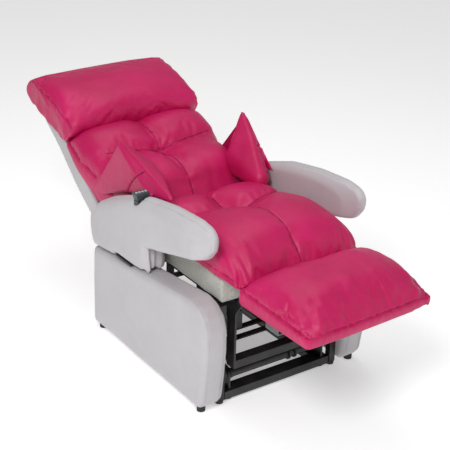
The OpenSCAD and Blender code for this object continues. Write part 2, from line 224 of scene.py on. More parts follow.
def leather(name, deep, bright, grain, roughness, sheen):
    """Soft coated leather: pebbled grain, fine creases and slow colour drift."""
    nodes = Nodes(name)
    drift = nodes.noise(5.0, 4.0, 0.6)
    cells = nodes.voronoi(grain)
    colour = nodes.ramp(drift, 0.3, 0.72, deep, bright)
    pores = nodes.ramp(cells, 0.0, 0.55, (0.90, 0.90, 0.90), (1, 1, 1))
    mix = nodes.add("ShaderNodeMix", data_type="RGBA", blend_type="MULTIPLY")
    mix.inputs["Factor"].default_value = 1.0
    nodes.link(colour, mix.inputs["A"])
    nodes.link(pores, mix.inputs["B"])
    creases = nodes.noise(grain * 0.22, 5.0, 0.65)
    base = nodes.bump(creases, 0.0016, 0.35)
    fine = nodes.bump(cells, 0.0007, 0.55, base)
    gloss = nodes.spread(nodes.noise(18.0, 3.0), 0.3, 0.7, roughness - 0.05, roughness + 0.07)
    nodes.set(Base_Color=mix.outputs["Result"], Roughness=gloss, Normal=fine, Specular_IOR_Level=0.36,
              Sheen_Weight=sheen, Sheen_Roughness=0.45)
    return nodes.material


def powder_coat():
    """Satin black paint with orange peel and random patches of wear a little lighter."""
    nodes = Nodes("powder_coat")
    peel = nodes.noise(900.0, 2.0)
    wear = nodes.noise(24.0, 6.0, 0.7)
    colour = nodes.ramp(wear, 0.42, 0.78, (0.008, 0.008, 0.009), (0.035, 0.034, 0.036))
    nodes.set(Base_Color=colour, Roughness=nodes.spread(wear, 0.3, 0.8, 0.30, 0.46),
              Normal=nodes.bump(peel, 0.0003, 0.5), Specular_IOR_Level=0.5)
    return nodes.material


def zinc_plate():
    nodes = Nodes("zinc_plate")
    streaks = nodes.noise(60.0, 4.0, 0.6, (1.0, 0.15, 1.0))
    colour = nodes.ramp(streaks, 0.3, 0.7, (0.10, 0.10, 0.105), (0.20, 0.20, 0.205))
    nodes.set(Base_Color=colour, Metallic=1.0, Roughness=nodes.spread(streaks, 0.3, 0.7, 0.28, 0.45),
              Normal=nodes.bump(nodes.noise(700.0), 0.0002, 0.4))
    return nodes.material


def moulded(name, dark, light, roughness):
    """Spark-textured moulded plastic."""
    nodes = Nodes(name)
    texture = nodes.voronoi(1400.0)
    colour = nodes.ramp(nodes.noise(30.0, 4.0), 0.3, 0.7, dark, light)
    nodes.set(Base_Color=colour, Roughness=roughness, Normal=nodes.bump(texture, 0.0002, 0.6))
    return nodes.material


def woven(name, dark, light, pitch):
    """Plain weave cloth whose threads cross at the given pitch."""
    nodes = Nodes(name)
    waves = []
    for direction in ("X", "Y", "Z"):
        wave = nodes.add("ShaderNodeTexWave", bands_direction=direction)
        wave.inputs["Scale"].default_value = math.pi / (10 * pitch)
        wave.inputs["Distortion"].default_value = 0.6
        nodes.link(nodes.place, wave.inputs["Vector"])
        waves.append(wave.outputs["Fac"])
    threads = nodes.maths("ADD", nodes.maths("MULTIPLY", waves[0], waves[1]),
                          nodes.maths("MULTIPLY", waves[1], waves[2]))
    slub = nodes.noise(220.0, 3.0, 0.6)
    colour = nodes.ramp(nodes.maths("MULTIPLY", slub, nodes.spread(threads, 0, 1.4, 0.75, 1.1)), 0.25, 0.62,
                        dark, light)
    nodes.set(Base_Color=colour, Roughness=0.9, Normal=nodes.bump(threads, 0.0006, 0.7), Sheen_Weight=0.25)
    return nodes.material


def felt_board():
    nodes = Nodes("felt_board")
    fibres = nodes.noise(1100.0, 5.0, 0.7)
    colour = nodes.ramp(nodes.noise(14.0, 5.0, 0.6), 0.3, 0.75, (0.010, 0.010, 0.011), (0.026, 0.025, 0.027))
    nodes.set(Base_Color=colour, Roughness=0.85, Normal=nodes.bump(fibres, 0.0006, 0.6))
    return nodes.material


def rubber():
    nodes = Nodes("rubber")
    colour = nodes.ramp(nodes.noise(40.0, 4.0), 0.3, 0.7, (0.012, 0.012, 0.012), (0.03, 0.03, 0.03))
    nodes.set(Base_Color=colour, Roughness=0.7, Normal=nodes.bump(nodes.noise(500.0), 0.0003, 0.5))
    return nodes.material


PINK = leather("pink_leather", (0.49, 0.006, 0.088), (0.62, 0.011, 0.128), 520.0, 0.38, 0.0)
VINYL = leather("grey_vinyl", (0.53, 0.51, 0.53), (0.58, 0.56, 0.58), 700.0, 0.46, 0.04)
# Dark crimson cord colour for the pink seams: painted shade of the seam grooves, not the leather's own colour
SEAM_SHADE_PINK = moulded("pink_seam_shade", (0.17, 0.002, 0.03), (0.25, 0.003, 0.045), 0.7)
THREAD_GREY = moulded("grey_thread", (0.42, 0.41, 0.43), (0.56, 0.55, 0.57), 0.7)
SLOT_LOOKS = {
    "painted_steel": powder_coat(),
    "zinc_steel": zinc_plate(),
    "black_rubber": rubber(),
    "black_plastic": moulded("black_plastic", (0.010, 0.010, 0.011), (0.022, 0.022, 0.024), 0.45),
    "black_board": felt_board(),
    "box_fabric": woven("box_fabric", (0.42, 0.43, 0.38), (0.66, 0.67, 0.61), 0.0016),
    "pink_leather": PINK,
    "grey_vinyl": VINYL,
    "handset_plastic": moulded("handset_plastic", (0.035, 0.042, 0.047), (0.060, 0.068, 0.074), 0.42),
    "key_plastic": moulded("key_plastic", (0.40, 0.42, 0.44), (0.52, 0.54, 0.56), 0.35),
}


def paint_frame():
    """Gives every CAD node the look of its material slot."""
    slot_of = {part["node"]: part["material_slot"] for part in frame["record"]["subparts"]}
    for name, part in frame["nodes"].items():
        part.data.materials.clear()
        part.data.materials.append(SLOT_LOOKS[slot_of[name]])


# ------------------------------------------------------------------ mesh helpers

def new_object(name, points, faces, look):
    mesh = bpy.data.meshes.new(name)
    mesh.from_pydata([tuple(p) for p in points], [], [tuple(f) for f in faces])
    mesh.update()
    piece = bpy.data.objects.new(name, mesh)
    bpy.context.scene.collection.objects.link(piece)
    mesh.materials.append(look)
    mesh.shade_smooth()
    return piece


def coords(piece):
    out = np.empty(len(piece.data.vertices) * 3)
    piece.data.vertices.foreach_get("co", out)
    return out.reshape(-1, 3)


def set_coords(piece, points):
    piece.data.vertices.foreach_set("co", np.ascontiguousarray(points, dtype=np.float32).ravel())
    piece.data.update()


def normals(piece):
    out = np.empty(len(piece.data.vertices) * 3)
    piece.data.vertices.foreach_get("normal", out)
    return out.reshape(-1, 3)


def apply_modifiers(piece):
    graph = bpy.context.evaluated_depsgraph_get()
    old = piece.data
    final = bpy.data.meshes.new_from_object(piece.evaluated_get(graph), preserve_all_data_layers=True,
                                            depsgraph=graph)
    piece.modifiers.clear()
    piece.data = final
    final.name = piece.name
    final.shade_smooth()
    bpy.data.meshes.remove(old)


def subdivide(piece):
    modifier = piece.modifiers.new("round", "SUBSURF")
    modifier.levels = 1
    modifier.render_levels = 1
    apply_modifiers(piece)


def block_surface(counts):
    """The surface of a block from -1 to 1 on each axis, as a welded grid of counts quads along each axis."""
    nx, ny, nz = counts
    index, points, quads = {}, [], []

    def corner(i, j, k):
        if (i, j, k) not in index:
            index[i, j, k] = len(points)
            points.append((2 * i / nx - 1, 2 * j / ny - 1, 2 * k / nz - 1))
        return index[i, j, k]

    def face(*corners):
        quads.append([corner(*place) for place in corners])

    for i in range(nx):
        for j in range(ny):
            face((i, j, nz), (i + 1, j, nz), (i + 1, j + 1, nz), (i, j + 1, nz))
            face((i, j, 0), (i, j + 1, 0), (i + 1, j + 1, 0), (i + 1, j, 0))
    for j in range(ny):
        for k in range(nz):
            face((nx, j, k), (nx, j + 1, k), (nx, j + 1, k + 1), (nx, j, k + 1))
            face((0, j, k), (0, j, k + 1), (0, j + 1, k + 1), (0, j + 1, k))
    for i in range(nx):
        for k in range(nz):
            face((i, 0, k), (i + 1, 0, k), (i + 1, 0, k + 1), (i, 0, k + 1))
            face((i, ny, k), (i, ny, k + 1), (i + 1, ny, k + 1), (i + 1, ny, k))
    return np.array(points), quads


def curve_through(keys):
    """A smooth function through (position, value) keys."""
    where = np.array([k[0] for k in keys], float)
    value = np.array([k[1] for k in keys], float)
    order = np.argsort(where)
    where, value = where[order], value[order]
    slope = np.gradient(value, where)

    def at(x):
        x = np.clip(x, where[0], where[-1])
        i = np.clip(np.searchsorted(where, x) - 1, 0, len(where) - 2)
        step = where[i + 1] - where[i]
        t = (x - where[i]) / step
        return ((2 * t**3 - 3 * t**2 + 1) * value[i] + (t**3 - 2 * t**2 + t) * step * slope[i]
                + (3 * t**2 - 2 * t**3) * value[i + 1] + (t**3 - t**2) * step * slope[i + 1])
    return at


def bell(distance, width):
    return np.exp(-(distance / width) ** 2)


def smooth_noise(points, scale, seed):
    shift = Vector((seed * 7.3, seed * 3.1, seed * 5.7))
    return np.array([noise.noise(Vector(p) * scale + shift) for p in points])


# ------------------------------------------------------------------ cloth

CLOTH_STIFFNESS = 18.0
CLOTH_FRAMES = 18


def add_cloth(piece, pin, pressure, grow):
    """Cloth that pressure blows up, held where pin is 1. grow is the spare cloth as a share of its length."""
    group = piece.vertex_groups.new(name="pin")
    for weight in np.unique(np.round(pin, 2)):
        if weight > 0:
            group.add([int(i) for i in np.where(np.round(pin, 2) == weight)[0]], float(weight), "REPLACE")
    cloth = piece.modifiers.new("cloth", "CLOTH")
    settings = cloth.settings
    settings.quality = 5
    settings.mass = 0.35
    settings.tension_stiffness = CLOTH_STIFFNESS
    settings.compression_stiffness = CLOTH_STIFFNESS
    settings.shear_stiffness = CLOTH_STIFFNESS * 0.4
    settings.bending_stiffness = 2.0
    settings.tension_damping = 12
    settings.compression_damping = 12
    settings.air_damping = 3
    settings.use_pressure = True
    settings.uniform_pressure_force = pressure
    settings.vertex_group_mass = "pin"
    settings.pin_stiffness = 1.0
    settings.shrink_min = -grow
    settings.shrink_max = -grow
    settings.effector_weights.gravity = 0.0
    cloth.collision_settings.use_collision = False
    cloth.point_cache.frame_start = 1
    cloth.point_cache.frame_end = CLOTH_FRAMES


def run_cloth(pieces, caps):
    """Steps every cloth together, then keeps each point within its cap of where it started."""
    starts = [coords(piece) for piece in pieces]
    scene = bpy.context.scene
    for step in range(1, CLOTH_FRAMES + 1):
        scene.frame_set(step)
    graph = bpy.context.evaluated_depsgraph_get()
    for piece, start, cap in zip(pieces, starts, caps):
        shaped = piece.evaluated_get(graph).to_mesh()
        end = np.empty(len(shaped.vertices) * 3)
        shaped.vertices.foreach_get("co", end)
        piece.evaluated_get(graph).to_mesh_clear()
        move = end.reshape(-1, 3) - start
        length = np.linalg.norm(move, axis=1, keepdims=True)
        move *= np.minimum(1.0, cap / np.maximum(length, 1e-9))
        piece.modifiers.clear()
        set_coords(piece, start + move)
    scene.frame_set(1)


# ------------------------------------------------------------------ soft shapes

def seat_space(points):
    """Profile millimetres (x, y, z) to metres in the frame."""
    return points * MM + (0, PROFILE_Y, 0)


def profile_points(piece):
    """A piece's points in profile millimetres."""
    return coords(piece) / MM - (0, PROFILE_Y / MM, 0)


def back_space(points):
    """Millimetres (x, up the back, out of its front) to metres in the frame."""
    turn = np.array(BACK_FRAME)
    return points * MM @ turn[:3, :3].T + turn[:3, 3]


def ease(u):
    """Spaces the rows of a pad more closely towards its edges."""
    return 0.4 * u + 0.6 * np.sin(np.pi / 2 * u)


def pad(name, counts, half_w, ends, corner, foot, edge, crown, space, spread=None, full=(4, 6)):
    """A stuffed pad: a side band from foot to edge, and a domed top sheet over it.

    foot and edge are heights along the pad, crown(x, y) is the height of the top before its edges
    are drawn in, spread(y) scales the width, and full says how square the dome is each way."""
    unit, quads = block_surface(counts)
    middle, half_l = (ends[0] + ends[1]) / 2, (ends[1] - ends[0]) / 2
    across, along, level = unit.T
    flat = np.stack([half_w * ease(across), half_l * ease(along)], axis=1)
    half = np.array([half_w, half_l])
    core = np.clip(flat, corner - half, half - corner)
    out = flat - core
    reach = np.abs(out).max(axis=1)
    length = np.maximum(np.linalg.norm(out, axis=1), 1e-6)
    plan = core + out * (reach / length)[:, None]
    x, y = flat[:, 0], middle + flat[:, 1]
    low, high = foot(y), edge(y)
    wall = low + (level + 1) / 2 * (high - low)
    side = (np.abs(across) > 0.999) | (np.abs(along) > 0.999)
    bulge = np.where(side, 1 - level**2, 0) * 5
    plan *= 1 + bulge[:, None] / half
    if spread is not None:
        plan[:, 0] *= spread(y)
    height = np.where(level > 0.999, high + (crown(x, y) - high) * dome(across, along, full), wall)
    points = np.stack([plan[:, 0], middle + plan[:, 1], height], axis=1)
    piece = new_object(name, space(points), quads, PINK)
    return piece, x, y, level


def tufted_pin(x, from_cross, along, level):
    """How firmly each point of a tufted pad is held: its walls, its tuft, and the seams near the tuft."""
    tuft = np.hypot(x, along)
    pin = np.maximum.reduce([np.where(level < 0.99, 1.0, 0.0), bell(tuft, 80) * bell(x, 7),
                             0.7 * bell(from_cross, 7), bell(tuft, 16)])
    return np.where(pin > 0.04, pin, 0)


def dome(across, along, full):
    """1 over the middle of a pad, falling to 0 at its edges with an upright tangent there."""
    return np.sqrt((1 - np.abs(ease(across)) ** full[0]) * (1 - np.abs(ease(along)) ** full[1]))


def smooth_path(points, spacing=0.003):
    """A dense curve through points, as a Catmull-Rom spline."""
    points = np.array(points, float)
    ends = np.vstack([2 * points[0] - points[1], points, 2 * points[-1] - points[-2]])
    out = []
    for a, b, c, d in zip(ends, ends[1:], ends[2:], ends[3:]):
        steps = max(2, int(np.linalg.norm(c - b) / spacing))
        for t in np.arange(steps) / steps:
            out.append(0.5 * (2 * b + (c - a) * t + (2 * a - 5 * b + 4 * c - d) * t**2
                              + (3 * b - a - 3 * c + d) * t**3))
    out.append(points[-1])
    return np.array(out)


def drape(paths, piece):
    """Moves paths onto a piece's surface, and gives the surface's normals along each."""
    mesh = piece.data
    tree = BVHTree.FromPolygons([v.co for v in mesh.vertices], [p.vertices for p in mesh.polygons])
    draped = []
    for path in paths:
        found = [tree.find_nearest(Vector(point)) for point in path]
        draped.append((np.array([hit[0] for hit in found]), np.array([hit[1] for hit in found])))
    return draped


def lay(paths, piece):
    """Moves paths onto a piece's surface."""
    return [spots for spots, _ in drape(paths, piece)]


def points_path(points, space=None):
    """A smooth path in the frame through points given in millimetres."""
    return smooth_path((space or seat_space)(np.array(points, float)))


def calm(path):
    """Evens out a path's small wobbles."""
    path = path.copy()
    for _ in range(40):
        path[1:-1] = 0.5 * path[1:-1] + 0.25 * (path[:-2] + path[2:])
    return path


def path_distance(points, path):
    """Each point's distance to a path, and how far along the path it is."""
    steps = np.r_[0, np.cumsum(np.linalg.norm(np.diff(path, axis=0), axis=1))]
    tree = KDTree(len(path))
    for i, spot in enumerate(path):
        tree.insert(spot, i)
    tree.balance()
    found = [tree.find(p) for p in points]
    return np.array([f[2] for f in found]), steps[[f[1] for f in found]]


def sew(piece, paths, seed, depth=0.0035, width=0.004, pull=0.0006):
    """Presses seams into a piece along paths, with small puckers that die out away from them."""
    reach, pitch = 0.018, 0.034
    points, out = coords(piece), normals(piece)
    shift = np.zeros(len(points))
    for number, path in enumerate(paths):
        gap, along = path_distance(points, path)
        wobble = np.sin(2 * np.pi * along / pitch + 5 * smooth_noise(points, 14.0, seed + number))
        shift -= depth * bell(gap, width) + pull * wobble * bell(gap, reach)
    set_coords(piece, points + out * shift[:, None])


def fold(piece, mask, scale, height, seed):
    """Soft folds from stretched noise. scale is the noise's frequency along each axis."""
    points, out = coords(piece), normals(piece)
    ripple = smooth_noise(points * scale, 1.0, seed)
    set_coords(piece, points + out * (height * mask * ripple)[:, None])


def pucker_round(piece, points, along, rays, ring, height):
    """Rays of small puckers round a tuft. along is how far each point is from it lengthwise."""
    middle, width = ring
    angle = np.arctan2(along, points[:, 0])
    ripple = np.sin(rays * angle + 5 * smooth_noise(points * MM, 9.0, 5))
    ripple *= bell(np.hypot(points[:, 0], along) - middle, width)
    set_coords(piece, coords(piece) + normals(piece) * (height * ripple)[:, None])


def tube(path, radius):
    """Points and quads of a thin closed tube along a path."""
    sides = 6
    path = np.array(path, float)
    ahead = np.gradient(path, axis=0)
    ahead /= np.maximum(np.linalg.norm(ahead, axis=1, keepdims=True), 1e-9)
    guide = np.cross(ahead[0], (0.3, 0.9, 0.2))
    points, faces = [], []
    for spot, way in zip(path, ahead):
        guide = guide - way * (guide @ way)
        guide /= np.linalg.norm(guide)
        other = np.cross(way, guide)
        for k in range(sides):
            turn = 2 * np.pi * k / sides
            points.append(spot + radius * (np.cos(turn) * guide + np.sin(turn) * other))
    rings = len(path)
    for i in range(rings - 1):
        for k in range(sides):
            a, b = i * sides + k, i * sides + (k + 1) % sides
            faces.append([a, b, b + sides, a + sides])
    faces.append(list(range(sides))[::-1])
    faces.append([(rings - 1) * sides + k for k in range(sides)])
    return points, faces


def tubes_object(name, paths, radius, look):
    points, faces = [], []
    for path in paths:
        start = len(points)
        more, quads = tube(path, radius)
        points += more
        faces += [[start + i for i in quad] for quad in quads]
    return new_object(name, points, faces, look)


def seam_cord(name, piece, paths, look, radius=0.0013, proud=0.0009):
    """The stitched line or piping that shows in a seam's groove; with the dark crimson look, the cord's colour is
    painted shade of the groove.
    """
    lines = [calm(spots + ups * proud) for spots, ups in drape(paths, piece)]
    return tubes_object(name, lines, radius, look)


def stitches(name, piece, paths, look):
    """Separate stitches laid on a piece's surface along paths."""
    pitch, length, radius = 0.007, 0.0045, 0.0006
    sunk = np.array([-0.4, 0.6, 0.6, -0.4])[:, None] * radius
    lines = []
    for spots, ups in drape(paths, piece):
        steps = np.r_[0, np.cumsum(np.linalg.norm(np.diff(spots, axis=0), axis=1))]
        for start in np.arange(0, steps[-1] - length, pitch):
            at = start + length * np.array([0, 0.25, 0.75, 1])
            line = np.stack([np.interp(at, steps, spots[:, k]) for k in range(3)], axis=1)
            up = np.stack([np.interp(at, steps, ups[:, k]) for k in range(3)], axis=1)
            lines.append(line + up * sunk)
    return tubes_object(name, lines, radius, look)


def soft_copy(name, node, voxel, rounds, look):
    """A remeshed, rounded copy of a CAD node's solid."""
    piece = frame["nodes"][node].copy()
    piece.data = piece.data.copy()
    piece.name = name
    piece.data.name = name
    piece.parent = None
    piece.matrix_world = Matrix.Identity(4)
    bpy.context.scene.collection.objects.link(piece)
    piece.data.materials.clear()
    piece.data.materials.append(look)
    reskin(piece, voxel, rounds)
    return piece


def reskin(piece, voxel, rounds):
    """Gives a piece even quads and relaxes its edges into round ones."""
    remesh = piece.modifiers.new("remesh", "REMESH")
    remesh.mode = "VOXEL"
    remesh.voxel_size = voxel
    remesh.adaptivity = 0
    relax = piece.modifiers.new("relax", "SMOOTH")
    relax.factor = 0.5
    relax.iterations = rounds
    bpy.context.view_layer.update()
    apply_modifiers(piece)


# ------------------------------------------------------------------ seat

SEAT_TUFT_Y = -62


def seat_cross(x):
    """Where the seat's cross seam lies, x from the middle."""
    return SEAT_TUFT_Y + 0.24 * np.abs(x)


def seat_lobes():
    """The seat's height: two rear lobes, a deep tuft, and two high front lobes."""
    ridge = curve_through([(168, 535), (140, 560), (100, 574), (40, 580), (-20, 582), (-75, 592), (-135, 612),
                           (-219, 626), (-317, 622), (-385, 606), (-425, 578), (-447, 530)])
    seam = curve_through([(168, 530), (126, 556), (72, 547), (15, 536), (-62, 534), (-95, 566), (-129, 598),
                          (-170, 611), (-219, 617), (-317, 612), (-395, 594), (-430, 566), (-447, 522)])

    def height(x, y):
        dip = (ridge(y) - seam(y)) * bell(x, 52)
        cross = y - seat_cross(x)
        reach = np.clip(np.abs(x) / 230, 0, 1)
        return ridge(y) - dip - 26 * bell(cross, 34) * (1 - reach**2) * (1 - bell(x, 40))
    return height


def make_seat():
    lobes = seat_lobes()
    edge = curve_through([(-447, 496), (-380, 508), (-200, 506), (165, 506)])
    foot = curve_through([(-447, 483), (165, 483)])
    seat, x, y, level = pad("seat_cushion_soft", (78, 88, 3), 256, (-449, 166), 30, foot, edge, lobes,
                            seat_space)
    return seat, tufted_pin(x, y - seat_cross(x), y - SEAT_TUFT_Y, level)


def finish_seat(seat):
    subdivide(seat)
    lobes = seat_lobes()
    long_y = np.linspace(160, -447, 26)
    seams = [points_path([(0, y, lobes(0.0, y)) for y in long_y])]
    for side in (-1, 1):
        cross = [(x, seat_cross(x)) for x in np.linspace(8, 225, 9)]
        seams.append(points_path([(side * x, y, lobes(x, y)) for x, y in cross]))
    seams = lay(seams, seat)
    sew(seat, seams, seed=3)
    rim = [(255, 150, 505), (257, 0, 505), (257, -200, 506), (256, -380, 507), (245, -436, 499),
           (215, -449, 496)]
    border = [(-x, y, z) for x, y, z in rim] + [(0, -450, 496)] + rim[::-1]
    border = lay([points_path(border)], seat)
    sew(seat, border, seed=8, depth=0.003, pull=0.0008)
    points = profile_points(seat)
    corner = bell(np.hypot(points[:, 0] + 235, points[:, 1] + 420), 75) + 0.7 * bell(
        np.hypot(points[:, 0] - 235, points[:, 1] + 420), 70)
    front = np.clip((-380 - points[:, 1]) / 60, 0, 1) * np.clip((points[:, 2] - 500) / 20, 0, 1)
    fold(seat, np.maximum(1.3 * corner, 0.25 * front), (46, 10, 9), 0.010, 2)
    pucker_round(seat, points, points[:, 1] - SEAT_TUFT_Y, rays=7, ring=(55, 45), height=0.0009)
    fold(seat, np.ones(len(points)), (7, 7, 7), 0.004, 11)
    # Dark cords in the seat's seam grooves: painted groove shade
    cords = seam_cord("seat_seams", seat, seams, SEAM_SHADE_PINK)
    piping = seam_cord("seat_piping", seat, border, PINK)
    for piece in (seat, cords, piping):
        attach(piece, "chassis")
    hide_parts("seat_cushion")


# ------------------------------------------------------------------ leg rest pad

def make_leg_pad():
    ridge = curve_through([(-452, 512), (-470, 538), (-510, 558), (-575, 569), (-650, 571), (-720, 562),
                           (-765, 543), (-795, 515), (-812, 495)])
    edge = curve_through([(-452, 496), (-600, 494), (-812, 490)])
    foot = curve_through([(-452, 461), (-812, 472)])

    def height(x, y):
        return ridge(y)
    leg, _, _, level = pad("legrest_pad_soft", (78, 54, 5), 254, (-812, -453), 16, foot, edge, height,
                           seat_space)
    points = coords(leg)
    slant = np.clip((-0.55 - (points[:, 1] - PROFILE_Y)) / 0.26, 0, 1)
    slant *= np.clip((points[:, 0] + 0.1) / 0.35, 0, 1)
    points[:, 1] += 0.016 * slant
    set_coords(leg, points)
    return leg, np.where(level < 0.99, 1.0, 0.0)


def finish_leg_pad(leg):
    subdivide(leg)
    points = profile_points(leg)
    rim = np.clip(np.maximum(np.abs(points[:, 0]) - 243, -797 - points[:, 1]) / 4, 0, 1)
    low = np.clip((486 - points[:, 2]) / 12, 0, 1)
    set_coords(leg, coords(leg) - (rim * low)[:, None] * np.array([0, 0, 0.021]))
    border = points_path(
        [(-250, -458, 496), (-255, -500, 495), (-256, -640, 494), (-255, -770, 491), (-246, -801, 490),
         (-222, -813, 490), (-100, -814, 490), (100, -807, 490), (222, -802, 490), (246, -790, 490),
         (255, -760, 491), (256, -640, 494), (255, -500, 495), (250, -458, 496)])
    border = lay([border], leg)
    sew(leg, border, seed=4, depth=0.005, width=0.005, pull=0.0012)
    x, y, z = profile_points(leg).T
    above = np.clip((z - 492) / 14, 0, 1)
    front = np.clip((-600 - y) / 120, 0, 1) * above
    fold(leg, front * np.clip((x + 180) / 160, 0.35, 1), (26, 5, 5), 0.0065, 6)
    corner = bell(np.hypot(x + 215, y + 770), 80) * above
    fold(leg, corner, (34, 22, 18), 0.009, 9)
    far_corner = bell(np.hypot(x - 225, y + 775), 60) * above
    fold(leg, far_corner, (22, 30, 16), 0.010, 13)
    fold(leg, above, (6, 8, 6), 0.005, 15)
    pinches = lay([points_path([(-250, -655, 497), (-243, -690, 512), (-232, -728, 505)]),
                   points_path([(-246, -700, 498), (-240, -690, 517), (-226, -676, 535)])], leg)
    sew(leg, pinches, seed=2, depth=0.007, width=0.008, pull=0.0)
    piping = seam_cord("legrest_piping", leg, border, PINK)
    for piece in (leg, piping):
        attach(piece, "leg_rest")
    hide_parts("legrest_pad")


def sheet_faces(columns, rows):
    """Faces of a thin closed sheet whose points run along its rows, first below and then above."""
    across, sheet = columns + 1, (columns + 1) * (rows + 1)
    faces = []
    for row in range(rows):
        for column in range(columns):
            a = row * across + column
            faces += [[a, a + across, a + across + 1, a + 1],
                      [a + sheet, a + sheet + 1, a + sheet + across + 1, a + sheet + across]]
    rim = list(range(across)) + [row * across + columns for row in range(1, rows + 1)]
    rim += [rows * across + column for column in range(columns - 1, -1, -1)]
    rim += [row * across for row in range(rows - 1, 0, -1)]
    for a, b in zip(rim, rim[1:] + rim[:1]):
        faces.append([a, b, b + sheet, a + sheet])
    return faces


def make_flap():
    """The leather that joins the seat's front to the leg rest and shows as the leg rest folds down."""
    half_w, thick = 244, 2.0
    top, bottom = np.array([-441.0, 487.0]), np.array([-459.0, 503.0])
    columns, rows = 120, 12
    away = np.array([top[1] - bottom[1], bottom[0] - top[0]]) / np.hypot(*(bottom - top))
    points = []
    for layer in (-0.5, 0.5):
        for row in range(rows + 1):
            for column in range(columns + 1):
                x = half_w * (2 * column / columns - 1)
                ripple = 1.2 * math.sin(0.11 * x + 1.5 * math.sin(0.031 * x)) * math.sin(math.pi * row / rows)
                y, z = top + (bottom - top) * row / rows + away * (layer * thick + ripple)
                points.append((x, y, z))
    flap = new_object("legrest_flap", seat_space(np.array(points)), sheet_faces(columns, rows), PINK)
    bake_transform(flap)


# ------------------------------------------------------------------ back cushion

BACK_TUFT_S = 244


def back_cross(x):
    """Where the back's cross seam lies, x from the middle."""
    return BACK_TUFT_S + 0.12 * np.abs(x)


def back_lobes():
    """The back pad's height: two high lumbar lobes, a tuft, and two flatter lobes above it."""
    ridge = curve_through([(-44, 86), (-20, 92), (0, 97), (22, 104), (50, 116), (80, 132), (120, 137),
                           (165, 122), (210, 92), (244, 76), (290, 68), (336, 54), (385, 40), (415, 20),
                           (429, -10)])
    seam = curve_through([(-44, 84), (-20, 88), (0, 92), (22, 98), (50, 108), (80, 124), (120, 126),
                          (160, 108), (190, 82), (215, 50), (244, 26), (262, 38), (285, 46), (336, 34),
                          (385, 14), (415, -4), (429, -28)])

    def height(x, s):
        dip = (ridge(s) - seam(s)) * bell(x, 46)
        cross = s - back_cross(x)
        reach = np.clip(np.abs(x) / 240, 0, 1)
        return ridge(s) - dip - 17 * bell(cross, 30) * (1 - reach**3) * (1 - bell(x, 40))
    return height


def make_back():
    lobes = back_lobes()
    edge = curve_through([(-44, 82), (10, 66), (40, 40), (70, 26), (110, 12), (150, -4), (248, -34),
                          (346, -58), (429, -76)])
    foot = curve_through([(-44, 77), (0, 66), (20, 52), (34, 34), (46, -60), (56, -104), (68, -106),
                          (90, -106), (260, -106), (429, -106)])
    spread = curve_through([(-44, 0.94), (50, 0.99), (150, 1.0), (215, 1.03), (300, 1.085), (429, 1.085)])
    back, x, s, level = pad("back_cushion_soft", (78, 70, 10), 256, (-44, 429), 26, foot, edge, lobes,
                            back_space, spread, full=(6, 10))
    return back, tufted_pin(x, s - back_cross(x), s - BACK_TUFT_S, level)


def back_local(piece):
    """A piece's points in the back's own frame, in millimetres."""
    turn = np.array(BACK_FRAME.inverted())
    return (coords(piece) @ turn[:3, :3].T + turn[:3, 3]) / MM


def finish_back(back):
    subdivide(back)
    lobes = back_lobes()
    long_s = np.linspace(425, 0, 24)
    seams = [points_path([(0, s, lobes(0.0, s)) for s in long_s], back_space)]
    for side in (-1, 1):
        cross = [(x, back_cross(x)) for x in np.linspace(8, 235, 9)]
        seams.append(points_path([(side * x, s, lobes(x, s)) for x, s in cross], back_space))
    seams = lay(seams, back)
    sew(back, seams, seed=5)
    rim = [(262, 424, -78), (272, 346, -58), (266, 248, -34), (257, 150, -4), (256, 110, 12), (253, 60, 30)]
    borders = lay([points_path([(side * x, s, n) for x, s, n in rim], back_space) for side in (-1, 1)], back)
    sew(back, borders, seed=7, depth=0.003, pull=0.0012)
    points = back_local(back)
    _, s, n = points.T
    pucker_round(back, points, s - BACK_TUFT_S, rays=8, ring=(60, 50), height=0.0012)
    below = np.clip((200 - s) / 60, 0, 1) * np.clip((n - 20) / 30, 0, 1)
    fold(back, below, (24, 6, 6), 0.0035, 21)
    fold(back, np.ones(len(points)), (7, 7, 7), 0.005, 23)
    # Dark cords in the back's seam grooves: painted groove shade
    cords = seam_cord("back_seams", back, seams, SEAM_SHADE_PINK)
    piping = seam_cord("back_piping", back, borders, PINK)
    for piece in (back, cords, piping):
        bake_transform(piece)
    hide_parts("back_cushion")


# ------------------------------------------------------------------ headrest

HEADREST_HALF_W = 287


def prism(outline, x0, x1, steps):
    """Points and faces of an (up the back, out of it) outline carried from x0 to x1."""
    outline = np.array(outline, float)
    count = len(outline)
    rings = [np.column_stack([np.full(count, x), outline]) for x in np.linspace(x0, x1, steps + 1)]
    faces = [list(range(count))[::-1], [steps * count + i for i in range(count)]]
    for i in range(steps):
        for k in range(count):
            a, b = i * count + k, i * count + (k + 1) % count
            faces.append([a, b, b + count, a + count])
    return np.vstack(rings), faces


